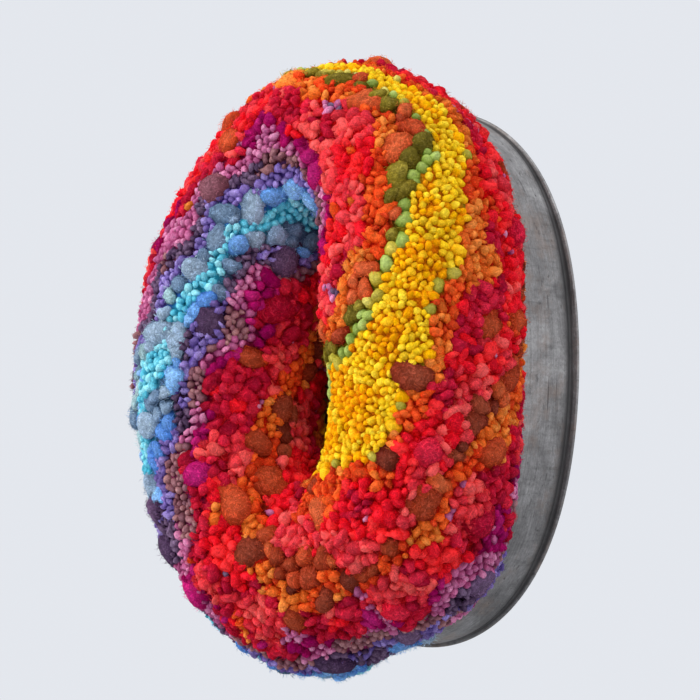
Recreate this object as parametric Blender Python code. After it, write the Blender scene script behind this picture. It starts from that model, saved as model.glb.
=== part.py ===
"""Punch needle wall piece: a stuffed oval ring of looped pile on an upturned oval pan.

Metres, +Z up. The origin is the centre of the pan's mouth, on the wall. The wall is the plane
y = 0 and the front faces -Y. The ring is one filled cushion, and the pan is one hollow pressing
whose rolled rim lies flat on the wall and whose base carries the ring.
"""
import math

import bmesh
import bpy
import numpy as np

OBJECT_NAME = "punch_needle_wall_piece"
GAP = 0.0003

# Ring: its outer outline and its hole are ovals on the same middle, and its tube is an oval in
# section. The hole is a slit, set a little high, and its wall waves in and out.
RING_HALF_WIDTH = 0.0900
RING_HALF_HEIGHT = 0.1312
SLIT_HALF_WIDTH = 0.0085
SLIT_HALF_HEIGHT = 0.0520
SLIT_RISE = 0.0040
RING_CENTRE_OFF_WALL = 0.0862
TUBE_HALF_DEPTH_SIDES = 0.0425
TUBE_HALF_DEPTH_ENDS = 0.0385
ENDS_LEAN_BACK = 0.0110
LEAN_BACK_AT_HEIGHT = 0.120
RING_STEPS_AROUND = 108
RING_STEPS_ACROSS = 48

# Soft unevenness of both outlines: (waves round the ring, cosine part, sine part), in metres.
OUTLINE_WAVES = (
    (4, -0.0015, 0.0000),
    (5, -0.0015, 0.0000),
)
SLIT_WAVES = (
    (3, 0.0000, -0.0034),
)

# Felted tufts, the largest knots of the pile, raised as round domes.
TUFT_COUNT = 170
TUFT_RADIUS_SMALL = 0.0085
TUFT_RADIUS_LARGE = 0.0120
TUFT_HEIGHT_SMALL = 0.0018
TUFT_HEIGHT_LARGE = 0.0030
TUFT_SPACING = 0.0160
TUFT_TRIES = 9000
TUFT_SEED = 21
SLIT_FLATTENING = 0.8

# Pan: an oval rim outline, and the section of its pressed sheet.
PAN_HALF_WIDTH = 0.0738
PAN_HALF_HEIGHT = 0.1198
PAN_SQUARENESS = 0.0014
PAN_DEPTH = 0.0450
PAN_SHEET = 0.0008
PAN_STEPS = 72
BASE_EDGE_RADIUS = 0.0050
WALL_INSET_AT_RIM = 0.0034
WALL_INSET_AT_BASE = 0.0060
GROOVE_DEPTH = 0.0030
RIM_RADIUS = 0.0008
ARC_STEPS = 4

# Colour, roughness and metallic value of each piece.
FINISHES = {
    "pile_ring": ((0.62, 0.06, 0.07, 1.0), 0.95, 0.0),
    "oval_pan": ((0.33, 0.34, 0.34, 1.0), 0.45, 1.0),
}


def clear_scene():
    for thing in list(bpy.data.objects):
        bpy.data.objects.remove(thing, do_unlink=True)


def make_material(name):
    colour, roughness, metallic = FINISHES[name]
    material = bpy.data.materials.new(name)
    material.use_nodes = True
    shader = material.node_tree.nodes["Principled BSDF"]
    shader.inputs["Base Color"].default_value = colour
    shader.inputs["Roughness"].default_value = roughness
    shader.inputs["Metallic"].default_value = metallic
    return material


def wave_sum(around, waves):
    return sum(
        c * math.cos(k * around) + s * math.sin(k * around)
        for k, c, s in waves
    )


def oval_ring_point(around, half_width, half_height, waves):
    swell = wave_sum(around, waves)
    x = (half_width + swell) * math.cos(around)
    z = (half_height + swell) * math.sin(around)
    return x, z


def ring_point(around, across, lift=0.0):
    """A point of the pile's surface.

    The angle around goes round the ring from +X towards +Z. The angle across goes round the tube
    from its outermost side towards the front. The seat that lies on the pan is flat.
    """
    rim_x, rim_z = oval_ring_point(around, RING_HALF_WIDTH, RING_HALF_HEIGHT, OUTLINE_WAVES)
    slit_x, slit_z = oval_ring_point(around, SLIT_HALF_WIDTH, SLIT_HALF_HEIGHT, SLIT_WAVES)
    slit_z += SLIT_RISE
    wide_x, wide_z = (rim_x - slit_x) / 2, (rim_z - slit_z) / 2
    grow = 1.0 + lift / math.hypot(wide_x, wide_z)
    x = (rim_x + slit_x) / 2 + wide_x * grow * math.cos(across)
    z = (rim_z + slit_z) / 2 + wide_z * grow * math.cos(across)
    at_side, at_end = math.cos(around) ** 2, math.sin(around) ** 2
    half_depth = TUBE_HALF_DEPTH_SIDES * at_side + TUBE_HALF_DEPTH_ENDS * at_end
    lean = ENDS_LEAN_BACK * (z / LEAN_BACK_AT_HEIGHT) ** 2
    y = -(RING_CENTRE_OFF_WALL - lean) - (half_depth + lift) * math.sin(across)
    return x, min(y, -(PAN_DEPTH + GAP)), z


def scatter_tufts():
    """Seeded tufts, spaced out over the pile: (place, radius, height) of each."""
    rng = np.random.default_rng(TUFT_SEED)
    places = []
    tufts = []
    for _ in range(TUFT_TRIES):
        around, across = rng.uniform(-math.pi, math.pi, 2)
        size = rng.uniform()
        place = np.array(ring_point(around, across))
        if any(np.linalg.norm(place - other) < TUFT_SPACING for other in places):
            continue
        places.append(place)
        radius = TUFT_RADIUS_SMALL + size * (TUFT_RADIUS_LARGE - TUFT_RADIUS_SMALL)
        height = TUFT_HEIGHT_SMALL + size * (TUFT_HEIGHT_LARGE - TUFT_HEIGHT_SMALL)
        tufts.append((place, radius, height))
        if len(tufts) == TUFT_COUNT:
            break
    return tufts


def tuft_lift(place, across, tufts):
    """Height of the tuft that covers a place, falling to nothing at its rim and in the slit."""
    lift = 0.0
    for centre, radius, height in tufts:
        reach = np.linalg.norm(place - centre) / radius
        if reach < 1.0:
            lift = max(lift, height * (1.0 - reach ** 2) ** 0.75)
    return lift * (1.0 + math.cos(across) * SLIT_FLATTENING) / (1.0 + SLIT_FLATTENING)


def make_ring(collection):
    """A torus whose points are moved onto the stuffed ring, with its tufts raised."""
    bpy.ops.mesh.primitive_torus_add(
        major_segments=RING_STEPS_AROUND,
        minor_segments=RING_STEPS_ACROSS,
        major_radius=1.0,
        minor_radius=0.25,
    )
    ring = bpy.context.object
    ring.name = "pile_ring"
    tufts = scatter_tufts()
    for vertex in ring.data.vertices:
        tx, ty, tz = vertex.co
        around = math.atan2(ty, tx)
        across = math.atan2(tz, math.hypot(tx, ty) - 1.0)
        plain = np.array(ring_point(around, across))
        vertex.co = ring_point(around, across, tuft_lift(plain, across, tufts))
    finish_object(ring, collection)


def arc(centre, radius, start, end, steps=ARC_STEPS):
    """Points of an arc in the pan's section, as (inset from the rim outline, depth)."""
    angles = [start + (end - start) * i / steps for i in range(steps + 1)]
    return [
        (centre[0] + radius * math.cos(a), centre[1] + radius * math.sin(a))
        for a in angles
    ]


def pan_section():
    """The closed section of the pressed sheet, from the middle of the base outside to inside.

    Each point is (inset from the rim outline, depth off the wall). The middle of the base has no
    inset of its own, and is given as None.
    """
    quarter = math.pi / 2
    edge = BASE_EDGE_RADIUS
    edge_centre = (WALL_INSET_AT_BASE + edge, PAN_DEPTH - edge)
    inner_edge = edge - PAN_SHEET
    rim_front = (RIM_RADIUS, RIM_RADIUS)
    groove_floor = WALL_INSET_AT_RIM + PAN_SHEET
    wall_end = GROOVE_DEPTH + 1.5 * PAN_SHEET
    outside = [(None, PAN_DEPTH)]
    outside += arc(edge_centre, edge, quarter, math.pi)
    outside += [
        (WALL_INSET_AT_RIM, wall_end),
        (WALL_INSET_AT_RIM + PAN_SHEET / 2, GROOVE_DEPTH),
        (groove_floor, GROOVE_DEPTH - PAN_SHEET),
        (groove_floor - PAN_SHEET / 2, 2 * RIM_RADIUS),
    ]
    outside += arc(rim_front, RIM_RADIUS, quarter, math.pi)
    outside += [(0.0, RIM_RADIUS / 2), (RIM_RADIUS / 2, 0.0)]
    inside = [
        (groove_floor, 0.0),
        (groove_floor + PAN_SHEET, RIM_RADIUS),
        (groove_floor + PAN_SHEET, wall_end),
    ]
    inside += arc(edge_centre, inner_edge, math.pi, quarter)
    inside += [(None, PAN_DEPTH - PAN_SHEET)]
    return outside + inside


def oval_point(turn, inset):
    """A point of the rim outline, a slightly squared oval, moved inwards at right angles to it."""
    swell = -PAN_SQUARENESS * math.cos(4 * turn)
    growth = 4 * PAN_SQUARENESS * math.sin(4 * turn)
    x = (PAN_HALF_WIDTH + swell) * math.cos(turn)
    z = (PAN_HALF_HEIGHT + swell) * math.sin(turn)
    along_x = growth * math.cos(turn) - (PAN_HALF_WIDTH + swell) * math.sin(turn)
    along_z = growth * math.sin(turn) + (PAN_HALF_HEIGHT + swell) * math.cos(turn)
    length = math.hypot(along_x, along_z)
    return x - inset * along_z / length, z + inset * along_x / length


def make_pan(collection):
    """The section is spun into a round pan, whose points are then drawn out to the oval."""
    round_radius = 2 * PAN_HALF_WIDTH
    section = pan_section()
    cage = bmesh.new()
    line = []
    for inset, depth in section:
        radius = 0.0 if inset is None else round_radius - inset
        line.append(cage.verts.new((radius, -depth, 0.0)))
    edges = [cage.edges.new(pair) for pair in zip(line, line[1:])]
    bmesh.ops.spin(
        cage,
        geom=line + edges,
        cent=(0.0, 0.0, 0.0),
        axis=(0.0, 1.0, 0.0),
        angle=2 * math.pi,
        steps=PAN_STEPS,
    )
    bmesh.ops.remove_doubles(cage, verts=cage.verts, dist=1e-6)
    for vertex in cage.verts:
        radius = math.hypot(vertex.co.x, vertex.co.z)
        if radius > PAN_HALF_WIDTH:
            turn = math.atan2(vertex.co.z, vertex.co.x)
            vertex.co.x, vertex.co.z = oval_point(turn, round_radius - radius)
    bmesh.ops.recalc_face_normals(cage, faces=cage.faces)
    mesh = bpy.data.meshes.new("oval_pan")
    cage.to_mesh(mesh)
    cage.free()
    pan = bpy.data.objects.new("oval_pan", mesh)
    bpy.context.scene.collection.objects.link(pan)
    finish_object(pan, collection)


def finish_object(thing, collection):
    for home in list(thing.users_collection):
        home.objects.unlink(thing)
    collection.objects.link(thing)
    thing.data.name = thing.name
    thing.data.materials.clear()
    thing.data.materials.append(make_material(thing.name))
    thing.data.shade_smooth()
    thing.data.set_sharp_from_angle(angle=math.radians(40.0))


def main():
    clear_scene()
    collection = bpy.data.collections.new(OBJECT_NAME)
    bpy.context.scene.collection.children.link(collection)
    make_pan(collection)
    make_ring(collection)


main()
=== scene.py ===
"""Looks of the punch needle wall piece: a stuffed oval ring of wool pile on an upturned oval pan.

Metres, +Z up, the wall is y = 0 and the front faces -Y. The ring's form repeats the form of the
CAD ring, and every knot of the pile is planted on it.
"""
import math
from collections import namedtuple

import bpy
import numpy as np
from mathutils import Matrix, Vector, kdtree


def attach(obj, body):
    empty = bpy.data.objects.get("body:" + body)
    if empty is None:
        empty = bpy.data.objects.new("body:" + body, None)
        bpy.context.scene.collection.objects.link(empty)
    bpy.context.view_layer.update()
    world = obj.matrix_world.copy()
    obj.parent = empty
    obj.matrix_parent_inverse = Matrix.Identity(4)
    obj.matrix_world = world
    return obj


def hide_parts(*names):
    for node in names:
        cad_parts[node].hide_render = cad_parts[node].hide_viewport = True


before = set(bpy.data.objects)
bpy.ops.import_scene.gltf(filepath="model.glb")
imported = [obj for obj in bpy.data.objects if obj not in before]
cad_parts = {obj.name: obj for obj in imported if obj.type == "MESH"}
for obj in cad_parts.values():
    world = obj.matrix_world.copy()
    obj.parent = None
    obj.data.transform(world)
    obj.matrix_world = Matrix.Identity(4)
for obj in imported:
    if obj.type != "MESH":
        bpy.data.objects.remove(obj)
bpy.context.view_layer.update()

MM = 0.001

# The ring's form, as in the CAD model.
RING_HALF_WIDTH = 0.0900
RING_HALF_HEIGHT = 0.1312
SLIT_HALF_WIDTH = 0.0085
SLIT_HALF_HEIGHT = 0.0520
SLIT_RISE = 0.0040
RING_CENTRE_OFF_WALL = 0.0862
TUBE_HALF_DEPTH_SIDES = 0.0425
TUBE_HALF_DEPTH_ENDS = 0.0385
ENDS_LEAN_BACK = 0.0110
LEAN_BACK_AT_HEIGHT = 0.120
OUTLINE_WAVES = ((4, -0.0015, 0.0), (5, -0.0015, 0.0))
SLIT_WAVES = ((3, 0.0, -0.0034),)

# The pan's rim outline and the section of its sheet, as in the CAD model.
PAN_HALF_WIDTH = 0.0738
PAN_HALF_HEIGHT = 0.1198
PAN_SQUARENESS = 0.0014
PAN_DEPTH = 0.0450
PAN_SHEET = 0.0008
BASE_EDGE_RADIUS = 0.0050
WALL_INSET_AT_RIM = 0.0034
WALL_INSET_AT_BASE = 0.0060
GROOVE_DEPTH = 0.0030
RIM_RADIUS = 0.0008

# Only in the looks: a lip that narrows at the oval's ends, less so up the wall, a wall that bellies
# out a little, and the groove's section, as steps inwards from the wall and off the groove's depth.
LIP_NARROWS_AT_ENDS = 0.0020
NARROWING_FADES = 0.4
BELLY = 0.0004
GROOVE_SECTION = ((0.0002, 0.0006), (0.0005, 0.0), (0.0006, -0.0007), (0.0003, -0.0012))
LIP_SHARES = (0.85, 0.6, 0.4, 0.2)
PAN_STEPS = 160
BASE_EDGE_STEPS = 8
WALL_STEPS = 14
LIP_STEPS = 10

# Painted shade with some grime, in the groove by the lip: the strip of lip left undarkened, wider at the
# oval's sides and a little wavy, how soon the darkening is thick past it, and how far it reaches and
# fades up the wall, further at the sides.
UNDARKENED_LIP = 0.0009
UNDARKENED_LIP_WIDER_AT_SIDES = 0.0012
UNDARKENED_LIP_SIDES = 0.45
UNDARKENED_LIP_WAVES = 0.0003
DARKENING_EDGE = 0.0005
DARKENING_REACH_AT_SIDES = 0.0012
DARKENING_FADE = 0.0016
DARKENING_FADE_AT_SIDES = 0.0030
DARKENING_THINS = 1.3

# The seat: the gap to the pan, the clear strip round it, and how far wool may bulge beside the pan.
SEAT_GAP = 0.0003
SEAT_MARGIN = 0.0008
PILE_STARTS = PAN_DEPTH + SEAT_GAP + SEAT_MARGIN
BULGE_OUTSIDE = 0.0012
BULGE_DOWN = 0.0022

# The mounds that the CAD ring raises. The pile takes a share of their height, and most of them that
# lie in a band with felted tufts carry one, of a width and a stretch of its own.
MOUND_COUNT = 170
MOUND_HEIGHT_SMALL = 0.0018
MOUND_HEIGHT_LARGE = 0.0030
MOUND_RADIUS_SMALL = 0.0085
MOUND_RADIUS_LARGE = 0.0120
MOUND_SPACING = 0.0160
MOUND_TRIES = 9000
MOUND_SEED = 21
MOUND_ROUNDNESS = 0.75
MOUND_SHARE = 0.8
SLIT_FLATTENING = 0.8
FELT_SHARE = 0.75
TUFT_WIDTH_SMALL = 0.0046
TUFT_WIDTH_LARGE = 0.0066
TUFT_STRETCH = 0.35

# Where the stuffing swells or sinks: degrees round the ring, width in degrees, and height.
SWELLINGS = (
    (122.0, 24.0, -0.0035),
    (224.0, 22.0, 0.0020),
    (292.0, 16.0, -0.0045),
    (318.0, 16.0, 0.0028),
)

# The ground that the pile is worked on.
PILE_DEPTH = 0.0022
BODY_STEPS_AROUND = 180
BODY_STEPS_ACROSS = 76

# Sowing the knots: tries, how close they may stand, their size, and rounds of settling.
PILE_SEED = 7
SOWINGS = (
    (90000, 0.93, 1.0, 7),
    (90000, 0.84, 0.85, 5),
    (70000, 0.80, 0.70, 2),
)
YARN_MIXING = 0.25
MOSTLY_SHORT = 1.5
TOUCHING = 0.97

# How the knots find and push their neighbours: a cell of the grid, reach as a share of the knot's
# own, push as a share of the overlap, and the least distance.
CELL = 0.008
NEARBY = 2.4
PUSH = 0.25
LEAST_DISTANCE = 1e-6

# Soft noise, as (height, size of the waves, seed): how the bands of the design wander, where specks
# of another wool lie, how a band's yarns are spread, the ground's crumbs and the pan's dents.
BAND_DRIFT = ((0.055, 0.110, 3), (0.020, 0.032, 4))
SPECKS = ((1.0, 0.021, 11), (0.6, 0.009, 12))
YARN_PATCHES = ((0.32, 0.034, 13),)
GROUND_CRUMBS = ((0.35, 0.006, 31), (0.25, 0.0035, 32))
PAN_DENTS = ((0.00035, 0.060, 41),)
NOISE_WAVES = 9
NOISE_PITCHES = (0.7, 1.5)

# A knot's colour goes from deep at its roots to pale at its tip: painted shade down between the knots,
# and a painted highlight on the tip.
ROOT_SHADE = 0.84
ROOT_DEEPENS = 1.30
ROOT_LEVEL = 0.25
ROOT_FADE = 1.2
TIP_FADE = 3
TIP_PALENESS = 0.55
TONES = 3
TONE_VARIES = (0.88, 1.10)

# A knot's lumps: how many waves shape it, how tight they are, and the range of their starts.
KNOT_SKIRT = 0.30
LUMP_WAVES = 4
LUMP_TIGHTNESS = 3.4
LUMP_STARTS = 6.3
LEAN_SPREAD = 0.7
BEND_LEVEL = 0.4

# Loose fibres: where they leave the knot and how upright, how long and steep as shares of their
# piece's, how far the outer half rises, leans aside and curls, the corners of the middle in radians,
# how thick they are, and how much paler and brighter than their knot's wool.
FIBRE_ROOT = 0.93
FIBRE_AIM = 1.06
FIBRE_UPRIGHT = 0.25
FIBRE_LENGTHS = (0.5, 1.3)
FIBRE_RISES = (0.4, 1.5)
FIBRE_OUTER_RISE = 0.4
FIBRE_OUTER_ASIDE = 0.6
FIBRE_OUTER_CURL = 0.8
FIBRE_CORNERS = (0.0, 2.0944, 4.1888)
FIBRE_HALF = 0.00010
FIBRE_SHARES = (-0.3, 1.0)
FIBRE_PALER = 0.3
FIBRE_BRIGHTER = 2.2
FIBRE_BRIGHTEST = 0.95

# Camera: where the photo was taken from.
CAMERA_PLACE = (0.6915, -1.1175, -0.0733)
CAMERA_TURN = 33.42
CAMERA_LOOKS_UP = 3.69
CAMERA_ROLL = 1.66
CAMERA_LENS = 153.15
CAMERA_SENSOR = 36.0

# Studio: the floor, the sky, and each light's place, size across, watts and colour.
FLOOR_LEVEL = -0.2
FLOOR_RADIUS = 0.9
FLOOR_TONES = ((0.3, (0.46, 0.47, 0.49)), (0.7, (0.50, 0.51, 0.53)))
SKY_COLOUR = (0.775, 0.80, 0.85, 1.0)
LIGHTS_AIM = (0.0, -0.08, 0.0)
LIGHTS = {
    "key_light": ((-1.4, -1.3, 0.85), 1.8, 54.0, (1.0, 0.985, 0.96)),
    "fill_light": ((1.3, -0.7, 1.5), 1.2, 12.0, (0.97, 0.98, 1.0)),
}

# Wool colours, each as three tones of screen red, green and blue.
YARNS = {
    "bright_red": ((236, 12, 28), (220, 6, 24), (244, 34, 38)),
    "coral": ((230, 50, 58), (216, 36, 50), (240, 78, 76)),
    "crimson": ((190, 8, 38), (166, 4, 34), (208, 20, 48)),
    "orange_red": ((228, 64, 14), (210, 48, 10), (240, 86, 22)),
    "orange": ((230, 108, 28), (218, 90, 20), (240, 132, 46)),
    "rust": ((178, 58, 24), (152, 46, 19), (194, 78, 36)),
    "dark_rust": ((128, 42, 22), (108, 33, 18), (146, 54, 30)),
    "gold": ((238, 166, 0), (230, 146, 0), (244, 184, 6)),
    "yellow": ((238, 192, 6), (226, 178, 8), (244, 206, 24)),
    "chartreuse": ((180, 162, 44), (162, 150, 36), (198, 184, 70)),
    "soft_green": ((142, 164, 62), (122, 146, 50), (160, 182, 82)),
    "olive": ((118, 102, 22), (100, 86, 16), (136, 120, 32)),
    "magenta": ((158, 2, 80), (136, 0, 66), (174, 12, 96)),
    "mauve_pink": ((184, 84, 134), (162, 66, 116), (204, 116, 160)),
    "dusty_mauve": ((138, 82, 90), (118, 66, 78), (156, 100, 104)),
    "plum": ((88, 62, 94), (72, 48, 80), (106, 78, 112)),
    "violet": ((116, 92, 170), (98, 76, 152), (142, 120, 192)),
    "sky": ((96, 150, 212), (78, 130, 200), (124, 174, 224)),
    "slate": ((118, 142, 168), (98, 124, 152), (140, 162, 184)),
    "grey_teal": ((146, 178, 184), (128, 160, 170), (164, 192, 196)),
    "turquoise": ((92, 192, 212), (70, 176, 200), (134, 212, 224)),
}
WARM_YARNS = ("gold", "yellow")

# Knots. Radius, its spread, the tip's height over the pile's level and its bob up and down are in
# millimetres. Tall is a share of the radius. Stretch is the most that a knot is longer than wide.
# Lean, lump and bend are shares of a knot's size. Press is how far knots grow into each other, and
# pale is how much paler their tips are, a painted highlight.
KNOT_SIZES = ("radius", "spread", "tall", "stretch", "lean", "tip", "bob", "lump", "bend", "press", "pale")
KNOT_TABLE = {
    "bead": (1.55, 0.35, 1.20, 1.50, 0.22, 0.0, 0.40, 0.10, 0.15, 1.30, 0.50),
    "loop": (2.45, 0.45, 1.05, 1.20, 0.15, 0.5, 0.40, 0.08, 0.00, 1.30, 0.55),
    "berry": (1.90, 0.45, 1.15, 1.45, 0.25, 0.2, 0.50, 0.18, 0.20, 1.38, 0.30),
    "curl": (2.35, 0.70, 1.05, 1.35, 0.20, 0.4, 0.50, 0.20, 0.20, 1.46, 0.25),
    "crumb": (1.50, 0.35, 1.20, 1.60, 0.30, 0.0, 0.45, 0.20, 0.25, 1.32, 0.45),
    "felt": (4.00, 1.30, 0.66, 1.45, 0.08, 0.7, 0.35, 0.13, 0.00, 1.28, 0.25),
}
KNOTS = {kind: dict(zip(KNOT_SIZES, sizes)) for kind, sizes in KNOT_TABLE.items()}

# The generic design: bands of colour that wind round the ring. Each has a width in millimetres, a
# kind of knot, the knots' yarns, and the yarns of the felted tufts in it, if it has any.
BANDS = (
    (23, "curl", ("coral", "bright_red", "coral"), ("crimson", "rust")),
    (13, "curl", ("bright_red", "crimson"), ("rust", "crimson", "rust")),
    (12, "berry", ("orange_red", "orange"), ("rust", "dark_rust", "orange")),
    (3, "loop", ("chartreuse", "gold"), None),
    (23, "bead", ("gold", "yellow", "gold"), None),
    (7, "loop", ("chartreuse", "soft_green", "chartreuse"), ("olive",)),
    (10, "felt", ("olive", "rust"), ("olive", "rust")),
    (13, "berry", ("orange_red", "orange"), ("dark_rust", "rust", "orange")),
    (24, "curl", ("bright_red", "coral", "crimson"), ("crimson", "rust", "magenta")),
    (7, "curl", ("magenta", "crimson"), ("magenta",)),
    (10, "bead", ("mauve_pink",), None),
    (9, "crumb", ("dusty_mauve", "plum"), ("plum", "dusty_mauve")),
    (8, "bead", ("violet",), None),
    (11, "felt", ("sky", "slate", "grey_teal"), ("sky", "slate")),
    (12, "bead", ("turquoise", "turquoise", "sky"), None),
    (7, "felt", ("slate", "sky"), ("slate", "sky")),
    (9, "crumb", ("plum", "violet"), ("plum",)),
    (9, "bead", ("mauve_pink", "dusty_mauve"), None),
    (6, "curl", ("magenta", "crimson"), ("magenta",)),
    (22, "curl", ("coral", "crimson", "bright_red"), ("rust", "crimson")),
    (13, "berry", ("orange_red", "orange"), ("rust", "dark_rust")),
    (8, "felt", ("rust", "dark_rust"), ("rust",)),
)

# Specks among the curls: a small loop where the speck noise is high, a berry where it is low.
SPECK_ABOVE = 1.5
SPECK_BELOW = -1.55
MAUVE_SPECK = ("bead", ("mauve_pink", "mauve_pink", "plum"))
ORANGE_SPECK = ("berry", ("orange_red", "orange"))

# Wools: clumps, tangled fibres and curly strands per metre, then the strength of the mottling, of
# the bump and of the pale strands.
WOOLS = {
    "loop_wool": (600.0, 1500.0, 330.0, 0.45, 0.60, 0.50),
    "roving_wool": (480.0, 1300.0, 300.0, 0.70, 0.90, 0.55),
    "felted_wool": (420.0, 1150.0, 300.0, 0.80, 0.95, 0.75),
    "loose_wool": (700.0, 2000.0, 150.0, 0.20, 0.10, 0.0),
}

# Steps round and across the ball that each size of knot starts from.
TEMPLATES = {"small": (8, 6), "middle": (10, 7), "large": (16, 10)}

# Pieces of pile: name, kind of knot, whether only its warm yarns, template and wool. Then the piece
# of loose fibres on it: name, number, length, how steeply they rise, and how much paler they are.
PILE_PIECES = (
    ("loops_warm", "bead", True, "small", "loop_wool", ("fuzz_gold", 4000, 0.0014, 0.50, 0.25)),
    ("loops_cool", "bead", False, "small", "loop_wool", ("fuzz_violet", 7000, 0.0014, 0.50, 0.35)),
    ("loops_green", "loop", None, "middle", "loop_wool", ("fuzz_green", 1000, 0.0014, 0.50, 0.35)),
    ("berries_orange", "berry", None, "small", "roving_wool", ("fuzz_orange", 9000, 0.0020, 0.55, 0.25)),
    ("curls_red", "curl", None, "middle", "roving_wool", ("fuzz_red", 29000, 0.0024, 0.55, 0.30)),
    ("crumbs_dark", "crumb", None, "small", "roving_wool", ("fuzz_dark", 7000, 0.0016, 0.50, 0.35)),
    ("tufts_felted", "felt", None, "large", "felted_wool", ("fuzz_felt", 21000, 0.0030, 0.50, 0.60)),
)

Knot = namedtuple("Knot", "around across kind yarn tone reach stretch lift")


def deselect_all():
    if bpy.context.object and bpy.context.object.mode != "OBJECT":
        bpy.ops.object.mode_set(mode="OBJECT")
    bpy.ops.object.select_all(action="DESELECT")


def pick(thing):
    deselect_all()
    thing.select_set(True)
    bpy.context.view_layer.objects.active = thing


def linear(tone):
    """Screen red, green and blue as the linear values that shaders read."""
    share = np.asarray(tone, float) / 255.0
    return np.where(share <= 0.04045, share / 12.92, ((share + 0.055) / 1.055) ** 2.4)


def between(small, large, size):
    return small + size * (large - small)


def unit(ways):
    return ways / np.linalg.norm(ways, axis=-1, keepdims=True)


def column(knots, name):
    return np.array([getattr(knot, name) for knot in knots])


def knot_sizes(knots, name):
    return np.array([KNOTS[knot.kind][name] for knot in knots])


def wave_sum(around, waves):
    total = np.zeros_like(around)
    for count, cosine, sine in waves:
        total += cosine * np.cos(count * around) + sine * np.sin(count * around)
    return total


def oval(around, half_width, half_height, waves):
    swell = wave_sum(around, waves)
    return np.stack(
        ((half_width + swell) * np.cos(around), (half_height + swell) * np.sin(around)), -1
    )


def ring_surface(around, across, lift=0.0):
    """Points of the pile's surface, at a height over its level. The seat on the pan is flat."""
    rim = oval(around, RING_HALF_WIDTH, RING_HALF_HEIGHT, OUTLINE_WAVES)
    slit = oval(around, SLIT_HALF_WIDTH, SLIT_HALF_HEIGHT, SLIT_WAVES)
    slit[..., 1] += SLIT_RISE
    wide = (rim - slit) / 2
    grow = 1.0 + lift / np.linalg.norm(wide, axis=-1)
    flat = (rim + slit) / 2 + wide * (grow * np.cos(across))[..., None]
    at_side = np.cos(around) ** 2
    half_depth = TUBE_HALF_DEPTH_SIDES * at_side + TUBE_HALF_DEPTH_ENDS * (1.0 - at_side)
    lean = ENDS_LEAN_BACK * (flat[..., 1] / LEAN_BACK_AT_HEIGHT) ** 2
    y = -(RING_CENTRE_OFF_WALL - lean) - (half_depth + lift) * np.sin(across)
    y = np.minimum(y, -(PAN_DEPTH + SEAT_GAP))
    return np.stack((flat[..., 0], y, flat[..., 1]), -1)


def surface_frame(around, across):
    """Place, the two tangents per radian, and the outward normal, at each pair of angles."""
    step = 1e-3
    place = ring_surface(around, across)
    along = (ring_surface(around + step, across) - ring_surface(around - step, across)) / (2 * step)
    over = (ring_surface(around, across + step) - ring_surface(around, across - step)) / (2 * step)
    normal = np.cross(along, over)
    normal /= np.maximum(np.linalg.norm(normal, axis=-1, keepdims=True), 1e-12)
    return place, along, over, normal


def soft_noise(places, size, seed):
    """Smooth noise between about -1 and 1, from waves of a given size in metres."""
    rng = np.random.default_rng(seed)
    total = np.zeros(len(places))
    for _ in range(NOISE_WAVES):
        way = rng.normal(size=3)
        way /= np.linalg.norm(way)
        pitch = size * rng.uniform(*NOISE_PITCHES)
        total += np.sin(places @ way * (2 * math.pi / pitch) + rng.uniform(0, 2 * math.pi))
    return total / math.sqrt(NOISE_WAVES)


def noise_field(places, layers):
    return sum(height * soft_noise(places, size, seed) for height, size, seed in layers)


def band_of(around, across, places):
    """Which band of the design each place lies in."""
    turn = ((around + across) / (2 * math.pi) + noise_field(places, BAND_DRIFT)) % 1.0
    ends = np.cumsum([band[0] for band in BANDS], dtype=float)
    return np.searchsorted(ends / ends[-1], turn, side="right").clip(0, len(BANDS) - 1)


def cad_mounds():
    """The same seeded mounds that the CAD ring raises, as angles and a size from 0 to 1."""
    rng = np.random.default_rng(MOUND_SEED)
    places, mounds = [], []
    for _ in range(MOUND_TRIES):
        around, across = rng.uniform(-math.pi, math.pi, 2)
        size = rng.uniform()
        place = ring_surface(np.array(around), np.array(across))
        if any(np.linalg.norm(place - other) < MOUND_SPACING for other in places):
            continue
        places.append(place)
        mounds.append((around, across, size))
        if len(mounds) == MOUND_COUNT:
            break
    return np.array(mounds)


def mound_lift(places, across, mounds):
    """How far the raised mounds lift each place, falling off in the slit, as in the CAD model."""
    lift = np.zeros(len(places))
    for centre, radius, height in mounds:
        reach = np.linalg.norm(places - centre, axis=1) / radius
        lift = np.maximum(lift, height * np.clip(1.0 - reach ** 2, 0, 1) ** MOUND_ROUNDNESS)
    return lift * (1.0 + np.cos(across) * SLIT_FLATTENING) / (1.0 + SLIT_FLATTENING)


def stuffing_lift(around, across):
    """How much the uneven stuffing lifts the pile round the ring, and not at all in the slit."""
    lift = np.zeros_like(around)
    for middle, width, height in SWELLINGS:
        away = (np.degrees(around) - middle + 180.0) % 360.0 - 180.0
        lift += height * np.exp(-(away / width) ** 2)
    return lift * (1.0 + np.cos(across)) / 2


def pile_lift(places, around, across, mounds):
    return mound_lift(places, across, mounds) * MOUND_SHARE + stuffing_lift(around, across)


def candidates(rng, count):
    """Angles spread evenly over the surface, clear of the seat."""
    around = rng.uniform(-math.pi, math.pi, count)
    across = rng.uniform(-math.pi, math.pi, count)
    place, along, over, _ = surface_frame(around, across)
    area = np.linalg.norm(np.cross(along, over), axis=-1)
    keep = rng.uniform(0, area.max(), count) < area
    keep &= place[:, 1] < -PILE_STARTS
    return around[keep], across[keep]


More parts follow.
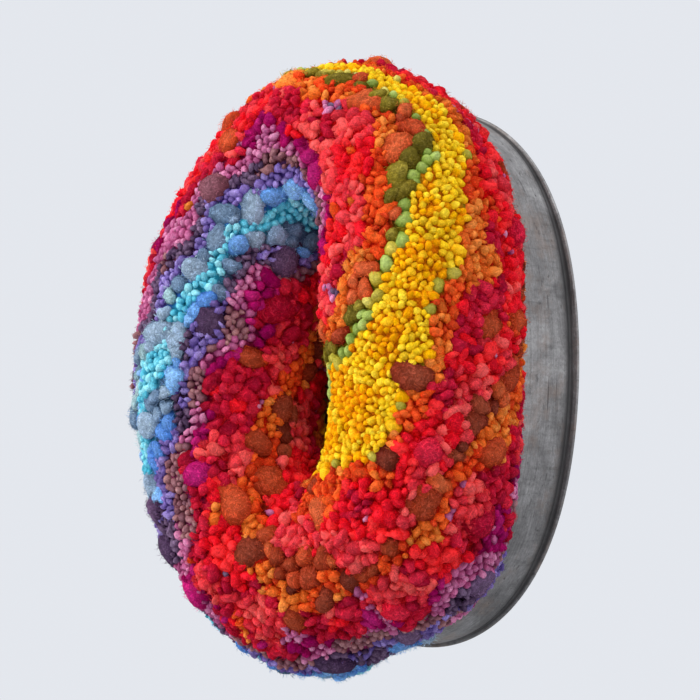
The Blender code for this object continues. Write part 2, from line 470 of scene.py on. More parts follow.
class Pile:
    """The knots as they are planted, and a grid of cells that finds a knot's neighbours."""

    def __init__(self):
        self.knots = []
        self.grid = {}

    def cell(self, place):
        return tuple(int(math.floor(c / CELL)) for c in place)

    def is_free(self, place, radius, closeness):
        cx, cy, cz = self.cell(place)
        for ix in (cx - 1, cx, cx + 1):
            for iy in (cy - 1, cy, cy + 1):
                for iz in (cz - 1, cz, cz + 1):
                    for other, reach in self.grid.get((ix, iy, iz), ()):
                        gap = (radius + reach) * closeness
                        dx = place[0] - other[0]
                        dy = place[1] - other[1]
                        dz = place[2] - other[2]
                        if dx * dx + dy * dy + dz * dz < gap * gap:
                            return False
        return True

    def mark(self, place, reach):
        self.grid.setdefault(self.cell(place), []).append((place, reach))

    def plant(self, knot, place):
        self.knots.append(knot)
        self.mark(place, knot.reach)

    def settle(self, rounds, tuft_count):
        """Lets the knots press each other apart. The tufts planted first hold their places."""
        around, across = column(self.knots, "around"), column(self.knots, "across")
        fixed = np.arange(len(self.knots)) < tuft_count
        around, across = relax(around, across, column(self.knots, "reach"), fixed, rounds)
        places = ring_surface(around, across)
        self.knots = [k._replace(around=a, across=c) for k, a, c in zip(self.knots, around, across)]
        self.grid = {}
        for place, knot in zip(places, self.knots):
            self.mark(tuple(place), knot.reach)


def sow(pile, rng, count, closeness, shrink):
    """Plants knots of each band's own kind wherever they still find room."""
    around, across = candidates(rng, count)
    places = ring_surface(around, across)
    bands = band_of(around, across, places)
    specks = noise_field(places, SPECKS)
    patches = 0.5 + noise_field(places, YARN_PATCHES)
    sizes, lengths, mixes, tones, _ = rng.uniform(size=(len(places), 5)).T
    for i, place in enumerate(places.tolist()):
        _, kind, yarns, _ = BANDS[bands[i]]
        if specks[i] > SPECK_ABOVE and kind == "curl":
            kind, yarns = MAUVE_SPECK
        elif specks[i] < SPECK_BELOW and kind == "curl":
            kind, yarns = ORANGE_SPECK
        form = KNOTS[kind]
        radius = (form["radius"] + form["spread"] * (2 * sizes[i] - 1)) * MM * shrink
        stretch = 1.0 + (form["stretch"] - 1.0) * lengths[i] ** MOSTLY_SHORT
        reach = radius * math.sqrt(stretch) * TOUCHING
        if pile.is_free(place, reach, closeness):
            choice = patches[i] + YARN_MIXING * (mixes[i] - 0.5)
            yarn = yarns[int(min(max(choice, 0.0), 0.999) * len(yarns))]
            tone = int(tones[i] * TONES)
            pile.plant(Knot(around[i], across[i], kind, yarn, tone, reach, stretch, 0.0), place)


def relax(around, across, reach, fixed, rounds):
    """Lets the knots push each other apart along the surface, as packed loops do."""
    for _ in range(rounds):
        place, along, over, _ = surface_frame(around, across)
        tree = kdtree.KDTree(len(place))
        for i, spot in enumerate(place):
            tree.insert(spot, i)
        tree.balance()
        first, second = [], []
        widest = 2.0 * reach[~fixed].max()
        for i, spot in enumerate(place):
            for _, j, _ in tree.find_range(spot, min(widest, NEARBY * reach[i])):
                if j != i:
                    first.append(i)
                    second.append(j)
        first, second = np.array(first), np.array(second)
        apart = place[first] - place[second]
        distance = np.maximum(np.linalg.norm(apart, axis=1), LEAST_DISTANCE)
        wanted = reach[first] + reach[second]
        push = np.clip(wanted - distance, 0.0, None) * PUSH / distance
        shift = np.zeros_like(place)
        np.add.at(shift, first, apart * push[:, None])
        shift[fixed] = 0.0
        around = around + (shift * along).sum(1) / np.maximum((along ** 2).sum(1), 1e-8)
        across = across + (shift * over).sum(1) / np.maximum((over ** 2).sum(1), 1e-8)
    return around, across


def plant_tufts(pile, rng):
    """Plants felted tufts on the CAD ring's mounds, and returns every mound's form."""
    seeds = cad_mounds()
    places = ring_surface(seeds[:, 0], seeds[:, 1])
    bands = band_of(seeds[:, 0], seeds[:, 1], places)
    mounds = []
    for (around, across, size), place, band in zip(seeds, places.tolist(), bands):
        radius = between(MOUND_RADIUS_SMALL, MOUND_RADIUS_LARGE, size)
        height = between(MOUND_HEIGHT_SMALL, MOUND_HEIGHT_LARGE, size)
        mounds.append((np.array(place), radius, height))
        yarns = BANDS[band][3]
        on_seat = place[1] > -PILE_STARTS
        if on_seat or yarns is None or rng.uniform() > FELT_SHARE:
            continue
        yarn = yarns[int(rng.integers(len(yarns)))]
        tone = int(rng.integers(TONES))
        width = between(TUFT_WIDTH_SMALL, TUFT_WIDTH_LARGE, size)
        stretch = 1.0 + TUFT_STRETCH * rng.uniform()
        pile.plant(Knot(around, across, "felt", yarn, tone, width, stretch, 0.0), place)
    return mounds


def make_pile():
    """Sows the knots, lets them press each other apart, and fills the gaps that are left."""
    rng = np.random.default_rng(PILE_SEED)
    pile = Pile()
    mounds = plant_tufts(pile, rng)
    tuft_count = len(pile.knots)
    for tries, closeness, shrink, rounds in SOWINGS:
        sow(pile, rng, tries, closeness, shrink)
        pile.settle(rounds, tuft_count)
    around, across = column(pile.knots, "around"), column(pile.knots, "across")
    lifts = pile_lift(ring_surface(around, across), around, across, mounds)
    knots = [knot._replace(lift=lift) for knot, lift in zip(pile.knots, lifts)]
    return knots, mounds, rng


def knot_template(segments, rings):
    """A unit knot: a ball with its under side cut off, as vertices and faces."""
    deselect_all()
    bpy.ops.mesh.primitive_uv_sphere_add(segments=segments, ring_count=rings, radius=1.0)
    ball = bpy.context.object
    bpy.ops.object.mode_set(mode="EDIT")
    bpy.ops.mesh.select_all(action="SELECT")
    bpy.ops.mesh.bisect(plane_co=(0, 0, -KNOT_SKIRT), plane_no=(0, 0, 1), clear_inner=True)
    bpy.ops.object.mode_set(mode="OBJECT")
    points = np.array([v.co for v in ball.data.vertices])
    faces = [list(p.vertices) for p in ball.data.polygons]
    bpy.data.objects.remove(ball, do_unlink=True)
    return points, faces


def joined_mesh(name, points, template_faces, copies, per_copy):
    """One mesh of many copies of a template's faces, over points already in place."""
    sizes = np.array([len(f) for f in template_faces])
    corners = np.concatenate([np.array(f) for f in template_faces])
    loops = (corners[None, :] + per_copy * np.arange(copies)[:, None]).ravel()
    totals = np.tile(sizes, copies)
    starts = np.concatenate(([0], np.cumsum(totals)[:-1]))
    mesh = bpy.data.meshes.new(name)
    mesh.vertices.add(len(points))
    mesh.vertices.foreach_set("co", points.astype(np.float32).ravel())
    mesh.loops.add(len(loops))
    mesh.loops.foreach_set("vertex_index", loops.astype(np.int32))
    mesh.polygons.add(len(totals))
    mesh.polygons.foreach_set("loop_start", starts.astype(np.int32))
    mesh.polygons.foreach_set("loop_total", totals.astype(np.int32))
    mesh.update(calc_edges=True)
    mesh.validate()
    mesh.shade_smooth()
    return mesh


def paint(mesh, colours):
    """Stores each point's wool colour."""
    wool_colour = mesh.color_attributes.new("wool_colour", "FLOAT_COLOR", "POINT")
    opaque = np.concatenate((colours, np.ones((len(colours), 1))), axis=1)
    wool_colour.data.foreach_set("color", opaque.astype(np.float32).ravel())


# Painted shade at the roots: the colour darkened and deepened where the knots crowd each other.
def painted_root_shade(tones):
    return ROOT_SHADE * tones ** ROOT_DEEPENS


class Shapes:
    """The size, turn and unevenness of some knots, and the places on them."""

    def __init__(self, knots, rng):
        self.rng = rng
        self.count = len(knots)
        self.tones = np.array([linear(YARNS[knot.yarn][knot.tone]) for knot in knots])
        self.tones *= rng.uniform(*TONE_VARIES, (self.count, 1))
        reach = column(knots, "reach") * knot_sizes(knots, "press")
        stretch = column(knots, "stretch")
        self.place, along, _, self.normal = surface_frame(column(knots, "around"), column(knots, "across"))
        turn = rng.uniform(0, 2 * math.pi, self.count)
        side = unit(along)
        cross = np.cross(self.normal, side)
        self.axis_x = side * np.cos(turn)[:, None] + cross * np.sin(turn)[:, None]
        self.axis_y = np.cross(self.normal, self.axis_x)
        self.long_half = reach * np.sqrt(stretch)
        self.short_half = reach / np.sqrt(stretch)
        self.tall = knot_sizes(knots, "tall") * self.short_half
        tip = knot_sizes(knots, "tip") * MM + column(knots, "lift")
        tip += rng.uniform(-1, 1, self.count) * knot_sizes(knots, "bob") * MM
        self.middle = tip - self.tall
        self.lean = knot_sizes(knots, "lean") * rng.normal(0, LEAN_SPREAD, self.count)
        self.bend = knot_sizes(knots, "bend") * rng.uniform(-1, 1, self.count) * (stretch - 1.0)
        self.lump = knot_sizes(knots, "lump")
        self.pale = knot_sizes(knots, "pale")
        self.ways = rng.normal(size=(LUMP_WAVES, self.count, 3))
        self.ways *= LUMP_TIGHTNESS / np.linalg.norm(self.ways, axis=2, keepdims=True)
        self.starts = rng.uniform(0, LUMP_STARTS, (LUMP_WAVES, self.count, 1))

    def on_knots(self, which, points):
        """Places of unit-ball points, shaped (knots, points, 3), on the chosen knots."""
        swell = np.ones(points.shape[:2])
        for way, start in zip(self.ways, self.starts):
            swell += self.lump[which, None] * np.sin(
                np.einsum("kc,kpc->kp", way[which], points) + start[which]
            )
        local = points * swell[..., None]
        long_half = self.long_half[which, None]
        tall = self.tall[which, None]
        px = local[..., 0] * long_half + self.lean[which, None] * local[..., 2] * tall
        py = local[..., 1] * self.short_half[which, None]
        py += self.bend[which, None] * long_half * (local[..., 0] ** 2 - BEND_LEVEL)
        pz = local[..., 2] * tall + self.middle[which, None]
        return (
            self.place[which, None]
            + px[..., None] * self.axis_x[which, None]
            + py[..., None] * self.axis_y[which, None]
            + pz[..., None] * self.normal[which, None]
        )


def make_piece(name, mesh, material):
    piece = bpy.data.objects.new(name, mesh)
    bpy.context.scene.collection.objects.link(piece)
    mesh.materials.append(material)
    return piece


def off_the_pan(spots):
    """Keeps the wool out of the pan: flat on its base, and free to bulge a little beside it."""
    reach = np.hypot(
        spots[..., 0] / (PAN_HALF_WIDTH - WALL_INSET_AT_BASE + BULGE_OUTSIDE),
        spots[..., 2] / (PAN_HALF_HEIGHT - WALL_INSET_AT_BASE + BULGE_OUTSIDE),
    )
    limit = np.where(reach < 1.0, -(PAN_DEPTH + SEAT_GAP), -(PAN_DEPTH - BULGE_DOWN))
    spots[..., 1] = np.minimum(spots[..., 1], limit)
    return spots


def grow_knots(name, shapes, template, material):
    """One piece of pile: a copy of the template for every knot, with painted shade at the roots and a
    painted highlight on the tips.
    """
    points, faces = template
    count, per_copy = shapes.count, len(points)
    spots = off_the_pan(shapes.on_knots(np.arange(count), np.repeat(points[None], count, axis=0)))
    rise = np.clip((points[:, 2] + ROOT_LEVEL) / (1.0 + ROOT_LEVEL), 0, 1)[None, :, None]
    at_root = (1.0 - rise) ** ROOT_FADE
    at_tip = rise ** TIP_FADE
    # Painted highlight: the tips are paled towards white.
    highlit_tips = shapes.tones + (shapes.tones ** TIP_PALENESS - shapes.tones) * shapes.pale[:, None]
    colours = shapes.tones[:, None] * (1 - at_tip) + highlit_tips[:, None] * at_tip
    # Painted shade: the colour darkens towards the roots.
    colours = colours * (1 - at_root) + painted_root_shade(shapes.tones)[:, None] * at_root
    mesh = joined_mesh(name, spots.reshape(-1, 3), faces, count, per_copy)
    paint(mesh, colours.reshape(-1, 3))
    return make_piece(name, mesh, material)


def grow_fuzz(name, shapes, count, length, lift, paler, material):
    """Loose fibres that stand off the knots: thin bent spindles, three-sided in the middle."""
    rng = shapes.rng
    weight = shapes.long_half * shapes.short_half
    which = rng.choice(shapes.count, count, p=weight / weight.sum())
    ways = rng.normal(size=(count, 3))
    ways[:, 2] = np.abs(ways[:, 2]) + FIBRE_UPRIGHT
    ways = unit(ways)
    root = shapes.on_knots(which, ways[:, None] * FIBRE_ROOT)[:, 0]
    outward = unit(shapes.on_knots(which, ways[:, None] * FIBRE_AIM)[:, 0] - root)
    aside = unit(np.cross(outward, rng.normal(size=(count, 3))))
    curl = np.cross(outward, aside) * rng.uniform(-1, 1, (count, 1))
    long = length * rng.uniform(*FIBRE_LENGTHS, (count, 1))
    rises = lift * rng.uniform(*FIBRE_RISES, (count, 1))
    first = outward * rises + aside * (1 - rises)
    second = outward * rises * FIBRE_OUTER_RISE + aside * FIBRE_OUTER_ASIDE + curl * FIBRE_OUTER_CURL
    second = unit(second)
    middle = root + first * long * 0.5
    tip = middle + second * long * 0.5
    spread = np.cross(first, second)
    spread /= np.maximum(np.linalg.norm(spread, axis=1, keepdims=True), 1e-9)
    upward = np.cross(spread, aside)
    upward /= np.maximum(np.linalg.norm(upward, axis=1, keepdims=True), 1e-9)
    corners = [(math.cos(t), math.sin(t)) for t in FIBRE_CORNERS]
    waist = [middle + (spread * c + upward * s) * FIBRE_HALF for c, s in corners]
    spots = off_the_pan(np.stack([root] + waist + [tip], axis=1))
    faces = [[0, 2, 1], [0, 3, 2], [0, 1, 3], [4, 1, 2], [4, 2, 3], [4, 3, 1]]
    per_fibre = spots.shape[1]
    mesh = joined_mesh(name, spots.reshape(-1, 3), faces, count, per_fibre)
    tones = shapes.tones[which]
    share = paler * rng.uniform(*FIBRE_SHARES, (count, 1))
    pale = tones ** (1.0 - FIBRE_PALER * share) * (1.0 + FIBRE_BRIGHTER * share)
    paint(mesh, np.repeat(np.minimum(pale, FIBRE_BRIGHTEST), per_fibre, axis=0))
    return make_piece(name, mesh, material)


class Nodes:
    """Short names for building a material's nodes."""

    def __init__(self, name):
        self.material = bpy.data.materials.new(name)
        self.material.use_nodes = True
        self.tree = self.material.node_tree
        self.shader = self.tree.nodes["Principled BSDF"]
        self.place = self.tree.nodes.new("ShaderNodeTexCoord").outputs["Object"]

    def link(self, source, target):
        self.tree.links.new(source, target)

    def feed(self, value, socket):
        """Links a socket to another one, or sets it to a colour or a number."""
        if isinstance(value, bpy.types.NodeSocket):
            self.link(value, socket)
        elif isinstance(value, tuple):
            socket.default_value = (*value, 1.0)
        else:
            socket.default_value = value

    def attribute(self, name):
        node = self.tree.nodes.new("ShaderNodeAttribute")
        node.attribute_name = name
        return node

    def noise(self, scale, detail=2.0, roughness=0.5, vector=None, distortion=0.0):
        node = self.tree.nodes.new("ShaderNodeTexNoise")
        node.inputs["Scale"].default_value = scale
        node.inputs["Detail"].default_value = detail
        node.inputs["Roughness"].default_value = roughness
        node.inputs["Distortion"].default_value = distortion
        self.link(vector or self.place, node.inputs["Vector"])
        return node.outputs["Fac"]

    def stretch(self, scale, turn=(0.0, 0.0, 0.0)):
        node = self.tree.nodes.new("ShaderNodeMapping")
        node.inputs["Scale"].default_value = scale
        node.inputs["Rotation"].default_value = turn
        self.link(self.place, node.inputs["Vector"])
        return node.outputs["Vector"]

    def waves(self, source, count):
        """Turns a smooth field into many thin lines that follow its heights."""
        turns = self.tree.nodes.new("ShaderNodeMath")
        turns.operation = "MULTIPLY"
        turns.inputs[1].default_value = count
        self.link(source, turns.inputs[0])
        swing = self.tree.nodes.new("ShaderNodeMath")
        swing.operation = "SINE"
        self.link(turns.outputs[0], swing.inputs[0])
        return swing.outputs[0]

    def height(self, lowest, highest):
        """How high a place lies between two levels, from 0 to 1."""
        split = self.tree.nodes.new("ShaderNodeSeparateXYZ")
        self.link(self.place, split.inputs[0])
        node = self.tree.nodes.new("ShaderNodeMapRange")
        node.inputs["From Min"].default_value = lowest
        node.inputs["From Max"].default_value = highest
        self.link(split.outputs["Z"], node.inputs["Value"])
        return node.outputs["Result"]

    def ramp(self, source, stops):
        node = self.tree.nodes.new("ShaderNodeValToRGB")
        while len(node.color_ramp.elements) < len(stops):
            node.color_ramp.elements.new(0.5)
        for element, (position, colour) in zip(node.color_ramp.elements, stops):
            element.position = position
            element.color = (*colour, 1.0)
        self.link(source, node.inputs["Fac"])
        return node.outputs["Color"]

    def grey(self, source, stops):
        return self.ramp(source, [(p, (v, v, v)) for p, v in stops])

    def mix(self, blend, factor, first, second):
        node = self.tree.nodes.new("ShaderNodeMix")
        node.data_type = "RGBA"
        node.blend_type = blend
        factor_socket, first_colour, second_colour = (node.inputs[i] for i in (0, 6, 7))
        self.feed(factor, factor_socket)
        self.feed(first, first_colour)
        self.feed(second, second_colour)
        mixed_colour = node.outputs[2]
        return mixed_colour

    def bump(self, height, strength, distance, normal=None):
        node = self.tree.nodes.new("ShaderNodeBump")
        node.inputs["Strength"].default_value = strength
        node.inputs["Distance"].default_value = distance
        self.link(height, node.inputs["Height"])
        if normal is not None:
            self.link(normal, node.inputs["Normal"])
        return node.outputs["Normal"]


def wool(name, lump_scale, fibre_scale, curl_scale, mottle, bump, strands):
    """Wool that reads its colour from the knots, with a tangle of curly paler and darker fibres."""
    n = Nodes(name)
    colour = n.attribute("wool_colour").outputs["Color"]
    clumps = n.noise(lump_scale, 3.0, 0.7)
    tangle = n.noise(fibre_scale, 3.0, 0.7, distortion=2.2)
    curls = n.waves(n.noise(curl_scale, 2.0, 0.6, distortion=1.0), 30.0)
    patches = n.grey(clumps, ((0.30, 0.60), (0.50, 1.0), (0.70, 1.35)))
    fibres = n.grey(tangle, ((0.28, 0.60), (0.50, 1.0), (0.72, 1.45)))
    tangled = n.mix("MULTIPLY", mottle, n.mix("MULTIPLY", mottle, colour, patches), fibres)
    brighter = n.mix("MULTIPLY", 1.0, tangled, (1.6, 1.6, 1.6))
    pale = n.mix("ADD", 1.0, brighter, (0.022, 0.014, 0.014))
    curly = n.mix("MIX", n.grey(curls, ((0.45, 0.0), (0.95, strands))), tangled, pale)
    n.link(curly, n.shader.inputs["Base Color"])
    clumpy = n.bump(clumps, bump, 0.0009)
    rough = n.bump(tangle, bump, 0.0005, clumpy)
    n.link(n.bump(curls, bump * 0.5, 0.0003, rough), n.shader.inputs["Normal"])
    n.shader.inputs["Roughness"].default_value = 0.95
    n.shader.inputs["Diffuse Roughness"].default_value = 0.8
    n.shader.inputs["Specular IOR Level"].default_value = 0.04
    return n.material


def make_body(material, mounds):
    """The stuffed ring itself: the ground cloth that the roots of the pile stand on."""
    deselect_all()
    bpy.ops.mesh.primitive_torus_add(
        major_segments=BODY_STEPS_AROUND,
        minor_segments=BODY_STEPS_ACROSS,
        major_radius=1.0,
        minor_radius=0.25,
    )
    body = bpy.context.object
    body.name = "stuffed_ring"
    spots = np.array([v.co for v in body.data.vertices])
    around = np.arctan2(spots[:, 1], spots[:, 0])
    across = np.arctan2(spots[:, 2], np.hypot(spots[:, 0], spots[:, 1]) - 1.0)
    level = ring_surface(around, across)
    lift = pile_lift(level, around, across, mounds)
    ground = ring_surface(around, across, -PILE_DEPTH + noise_field(level, GROUND_CRUMBS) * MM + lift)
    body.data.vertices.foreach_set("co", ground.astype(np.float32).ravel())
    shades = np.array([linear(YARNS[band[2][0]][1]) for band in BANDS])
    # Painted shade: the ground between the knots takes the darkened root colour.
    paint(body.data, painted_root_shade(shades[band_of(around, across, level)]))
    body.data.shade_smooth()
    body.data.materials.clear()
    body.data.materials.append(material)
    body.data.update()
    return body


def arc(centre, radius, start, end, steps):
    turns = [math.radians(start + (end - start) * i / steps) for i in range(steps + 1)]
    return [(centre[0] + radius * math.cos(t), centre[1] + radius * math.sin(t)) for t in turns]


def pan_rows():
    """The pan's outer side from the base to the lip, as (inset from the outline, depth)."""
    edge = BASE_EDGE_RADIUS
    rows = arc((WALL_INSET_AT_BASE + edge, PAN_DEPTH - edge), edge, 90, 176, BASE_EDGE_STEPS)
    wall_top = rows[-1]
    wall_foot = (WALL_INSET_AT_RIM, GROOVE_DEPTH + 1.5 * PAN_SHEET)
    for i in range(1, WALL_STEPS + 1):
        share = i / WALL_STEPS
        inset = between(wall_top[0], wall_foot[0], share) - BELLY * math.sin(math.pi * share)
        rows.append((inset, between(wall_top[1], wall_foot[1], share)))
    rows += [(WALL_INSET_AT_RIM + inwards, GROOVE_DEPTH + away) for inwards, away in GROOVE_SECTION]
    rows += [(between(RIM_RADIUS, WALL_INSET_AT_RIM, share), 2 * RIM_RADIUS) for share in LIP_SHARES]
    rows += arc((RIM_RADIUS, RIM_RADIUS), RIM_RADIUS, 75, 290, LIP_STEPS)
    return rows


def narrowed_lip(inset, depth, turn):
    """The lip is narrower at both ends of the oval, where the wall stands further out."""
    over_lip = np.clip((inset - RIM_RADIUS) / (WALL_INSET_AT_RIM - RIM_RADIUS), 0, 1)
    up_the_wall = 1.0 - NARROWING_FADES * depth / PAN_DEPTH
    return inset - LIP_NARROWS_AT_ENDS * np.sin(turn) ** 2 * over_lip * up_the_wall


def shade_and_grime_on_pan(inset, depth, turn):
    """Painted shade, with some old grime, lies along the foot of the wall and in the groove, and thins out
    over the lip.
    """
    at_sides = np.cos(turn) ** 2
    undarkened_lip = UNDARKENED_LIP + UNDARKENED_LIP_WIDER_AT_SIDES * np.exp(-(np.sin(turn) / UNDARKENED_LIP_SIDES) ** 2)
    undarkened_lip += UNDARKENED_LIP_WAVES * np.sin(9 * turn + 2 * np.sin(3 * turn))
    past_lip = np.clip((inset - undarkened_lip) / DARKENING_EDGE, 0, 1)
    undarkened_above = GROOVE_DEPTH + DARKENING_REACH_AT_SIDES * at_sides
    fade = DARKENING_FADE + DARKENING_FADE_AT_SIDES * at_sides
    up_the_wall = np.clip((depth - undarkened_above) / fade, 0, 1)
    return past_lip * (1.0 - up_the_wall) ** DARKENING_THINS


def pan_outline(turn, inset):
    """The rim outline, a slightly squared oval, moved inwards at right angles to it."""
    swell = -PAN_SQUARENESS * np.cos(4 * turn)
    growth = 4 * PAN_SQUARENESS * np.sin(4 * turn)
    x = (PAN_HALF_WIDTH + swell) * np.cos(turn)
    z = (PAN_HALF_HEIGHT + swell) * np.sin(turn)
    along_x = growth * np.cos(turn) - (PAN_HALF_WIDTH + swell) * np.sin(turn)
    along_z = growth * np.sin(turn) + (PAN_HALF_HEIGHT + swell) * np.cos(turn)
    length = np.hypot(along_x, along_z)
    return x - inset * along_z / length, z + inset * along_x / length


def make_pan(material):
    """A round face is drawn out row by row into a pan, which is then laid on the oval outline."""
    rows = pan_rows()
    deselect_all()
    bpy.ops.mesh.primitive_circle_add(
        vertices=PAN_STEPS, radius=1.0, fill_type="NGON", rotation=(math.pi / 2, 0, 0)
    )
    pan = bpy.context.object
    pan.name = "weathered_pan"
    bpy.ops.object.transform_apply(location=False, rotation=True, scale=False)
    bpy.ops.object.mode_set(mode="EDIT")
    bpy.ops.mesh.select_mode(type="EDGE")
    bpy.ops.mesh.select_all(action="SELECT")
    bpy.ops.transform.translate(value=(0.0, -rows[0][1], 0.0))
    bpy.ops.mesh.region_to_loop()
    for (_, depth), (_, new_depth) in zip(rows, rows[1:]):
        bpy.ops.mesh.extrude_edges_move(
            TRANSFORM_OT_translate={"value": (0.0, depth - new_depth, 0.0)}
        )
    bpy.ops.object.mode_set(mode="OBJECT")
    lay_on_outline(pan.data, np.array(rows))
    pick(pan)
    bpy.ops.object.mode_set(mode="EDIT")
    bpy.ops.mesh.select_all(action="SELECT")
    bpy.ops.mesh.normals_make_consistent(inside=False)
    bpy.ops.object.mode_set(mode="OBJECT")
    sheet = pan.modifiers.new("sheet", "SOLIDIFY")
    sheet.thickness = PAN_SHEET
    sheet.offset = -1.0
    bpy.ops.object.modifier_apply(modifier="sheet")
    bpy.ops.object.shade_smooth_by_angle(angle=math.radians(50))
    pan.data.materials.clear()
    pan.data.materials.append(material)
    return pan


def lay_on_outline(mesh, rows):
    """Moves each row of the round pan onto the oval, with soft dents in the wall, and marks painted shade
    and grime.
    """
    spots = np.array([v.co for v in mesh.vertices])
    row = np.arange(len(spots)) // PAN_STEPS
    turn = np.arctan2(spots[:, 2], spots[:, 0])
    inset, depth = rows[row].T
    inset = narrowed_lip(inset, depth, turn)
    spots[:, 0], spots[:, 2] = pan_outline(turn, inset)
    wall = np.clip((spots[:, 1] + PAN_DEPTH) / PAN_DEPTH, 0, 1) * (row > BASE_EDGE_STEPS)
    dent = noise_field(spots, PAN_DENTS) * np.sin(math.pi * wall)
    spots[:, 0] += dent * np.cos(turn)
    spots[:, 2] += dent * np.sin(turn)
    mesh.vertices.foreach_set("co", spots.astype(np.float32).ravel())
    # Marks where painted shade, with some grime, darkens the groove and the foot of the wall.
    shade_and_grime = mesh.attributes.new("shade_and_grime", "FLOAT", "POINT")
    shade_and_grime.data.foreach_set("value", shade_and_grime_on_pan(inset, depth, turn).astype(np.float32))
    mesh.update()


def weathered_zinc():
    """Old zinc-coated sheet: dull clouds, marks along and across, pits, scratches, painted shade towards
    the bottom, and painted shade with old grime by the lip.
    """
    n = Nodes("weathered_zinc")
    along = n.noise(1.0, 4.0, 0.75, vector=n.stretch((24.0, 1100.0, 24.0)))
    across = n.noise(1.0, 4.0, 0.7, vector=n.stretch((520.0, 40.0, 520.0)))
    clouds = n.noise(38.0, 6.0, 0.7, distortion=0.8)
    grain = n.noise(750.0, 3.0, 0.8)
    rust = n.noise(58.0, 5.0, 0.7)
    pits = n.noise(330.0, 2.0, 0.6)
    stains = n.noise(1.0, 3.0, 0.7, vector=n.stretch((60.0, 300.0, 190.0)))
    scratches = n.noise(1.0, 0.0, 0.5, vector=n.stretch((700.0, 700.0, 26.0), (0.35, 0.0, 0.0)))
    level = n.height(-PAN_HALF_HEIGHT, PAN_HALF_HEIGHT)
    zinc = n.ramp(clouds, (
        (0.28, (0.165, 0.158, 0.156)), (0.50, (0.285, 0.276, 0.272)), (0.72, (0.450, 0.438, 0.430)),
    ))
    lined = n.mix("MULTIPLY", 0.60, zinc, n.grey(along, ((0.30, 0.62), (0.5, 1.0), (0.70, 1.35))))
    crossed = n.mix("MULTIPLY", 0.60, lined, n.grey(across, ((0.30, 0.60), (0.46, 1.0), (0.75, 1.20))))
    grainy = n.mix("MULTIPLY", 0.60, crossed, n.grey(grain, ((0.28, 0.60), (0.5, 1.0), (0.72, 1.40))))
    # Painted light and shade: the zinc is lighter towards the top of the pan and darker towards the
    # bottom.
    lit_top_shaded_bottom = n.mix("MULTIPLY", 1.0, grainy, n.grey(level, ((0.10, 0.66), (0.45, 1.0), (0.90, 1.15))))
    rusty = n.mix("MIX", n.grey(rust, ((0.50, 0.0), (0.66, 0.45))), lit_top_shaded_bottom, (0.27, 0.185, 0.140))
    stained = n.mix("MULTIPLY", n.grey(stains, ((0.62, 0.0), (0.70, 0.7))), rusty, (0.45, 0.43, 0.42))
    pitted = n.mix("MULTIPLY", n.grey(pits, ((0.70, 0.0), (0.76, 0.8))), stained, (0.22, 0.20, 0.20))
    lines = n.grey(scratches, ((0.76, 0.0), (0.81, 0.6)))
    scratched = n.mix("MULTIPLY", lines, pitted, (0.30, 0.28, 0.28))
    shade_and_grime = n.attribute("shade_and_grime").outputs["Fac"]
    # Painted shade with some grime: near-black in the groove and at the foot of the wall.
    shade_and_dirt_colour = n.mix("MULTIPLY", 0.8, (0.055, 0.052, 0.052), n.grey(clouds, ((0.3, 0.5), (0.7, 1.7))))
    n.link(n.mix("MIX", shade_and_grime, scratched, shade_and_dirt_colour), n.shader.inputs["Base Color"])
    n.link(n.grey(clouds, ((0.3, 0.68), (0.7, 0.50))), n.shader.inputs["Roughness"])
    shine = n.mix("MIX", shade_and_grime, n.grey(rust, ((0.55, 0.75), (0.70, 0.45))), (0.1, 0.1, 0.1))
    n.link(shine, n.shader.inputs["Metallic"])
    bumpy = n.bump(across, 0.12, 0.0003, n.bump(clouds, 0.15, 0.0015))
    n.link(n.bump(pits, 0.25, 0.0003, bumpy), n.shader.inputs["Normal"])
    return n.material


def make_light(name, place, size, power, colour):
    light = bpy.data.lights.new(name, "AREA")
    light.shape = "DISK"
    light.size = size
    light.energy = power
    light.color = colour
    lamp = bpy.data.objects.new(name, light)
    lamp.location = place
    aim = Vector(LIGHTS_AIM) - lamp.location
    lamp.rotation_euler = aim.to_track_quat("-Z", "Y").to_euler()
    bpy.context.scene.collection.objects.link(lamp)


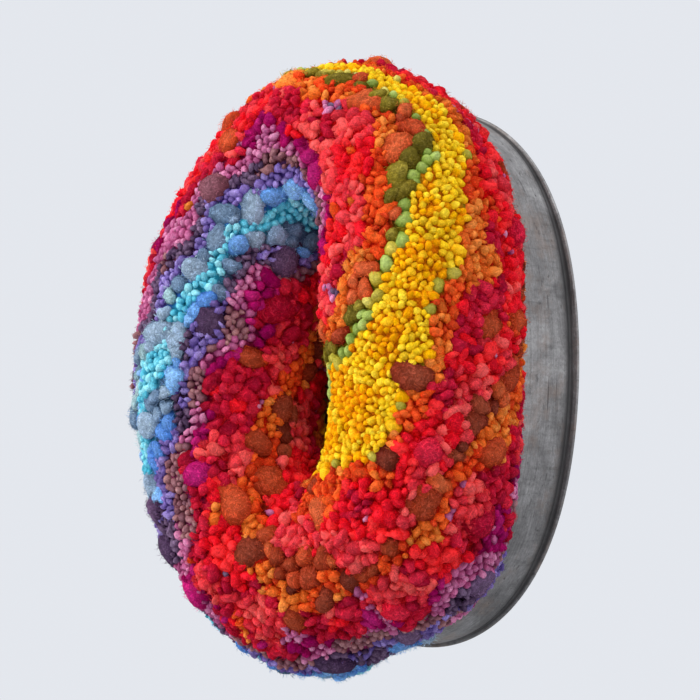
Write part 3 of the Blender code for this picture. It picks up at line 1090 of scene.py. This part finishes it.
def make_camera():
    camera = bpy.data.objects.new("camera", bpy.data.cameras.new("camera"))
    camera.data.lens = CAMERA_LENS
    camera.data.sensor_width = CAMERA_SENSOR
    camera.data.clip_end = 50.0
    camera.location = CAMERA_PLACE
    turn = Matrix.Rotation(math.radians(CAMERA_TURN), 3, "Z")
    tilt = Matrix.Rotation(math.radians(90.0 + CAMERA_LOOKS_UP), 3, "X")
    roll = Matrix.Rotation(math.radians(CAMERA_ROLL), 3, "Z")
    camera.rotation_euler = (turn @ tilt @ roll).to_euler()
    bpy.context.scene.collection.objects.link(camera)
    bpy.context.scene.camera = camera


def make_floor():
    deselect_all()
    bpy.ops.mesh.primitive_circle_add(
        vertices=96, radius=FLOOR_RADIUS, fill_type="NGON", location=(0, 0, FLOOR_LEVEL)
    )
    floor = bpy.context.object
    floor.name = "studio_floor"
    n = Nodes("pale_floor")
    n.link(n.ramp(n.noise(3.0), FLOOR_TONES), n.shader.inputs["Base Color"])
    n.shader.inputs["Roughness"].default_value = 0.9
    floor.data.materials.append(n.material)


def make_studio():
    make_camera()
    make_floor()
    world = bpy.data.worlds.new("studio")
    bpy.context.scene.world = world
    world.use_nodes = True
    sky = world.node_tree.nodes["Background"]
    sky.inputs["Color"].default_value = SKY_COLOUR
    sky.inputs["Strength"].default_value = 1.0
    for name, (place, size, power, colour) in LIGHTS.items():
        make_light(name, place, size, power, colour)
    bpy.context.scene.view_settings.view_transform = "Standard"


def dress(piece, node):
    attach(piece, "root")
    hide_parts(node)


def belongs(knot, kind, warm):
    """Whether a knot is of a kind, and of the warm or the other yarns where that counts."""
    return knot.kind == kind and (warm is None or (knot.yarn in WARM_YARNS) == warm)


def main():
    make_studio()
    wools = {name: wool(name, *sizes) for name, sizes in WOOLS.items()}
    knots, mounds, rng = make_pile()
    body = make_body(wools["roving_wool"], mounds)
    dress(body, "pile_ring")
    templates = {size: knot_template(*steps) for size, steps in TEMPLATES.items()}
    for name, kind, warm, size, wool_name, (fuzz_name, count, length, lift, paler) in PILE_PIECES:
        shapes = Shapes([knot for knot in knots if belongs(knot, kind, warm)], rng)
        piece = grow_knots(name, shapes, templates[size], wools[wool_name])
        dress(piece, "pile_ring")
        fibres = grow_fuzz(fuzz_name, shapes, count, length, lift, paler, wools["loose_wool"])
        dress(fibres, "pile_ring")
    pan = make_pan(weathered_zinc())
    dress(pan, "oval_pan")


main()
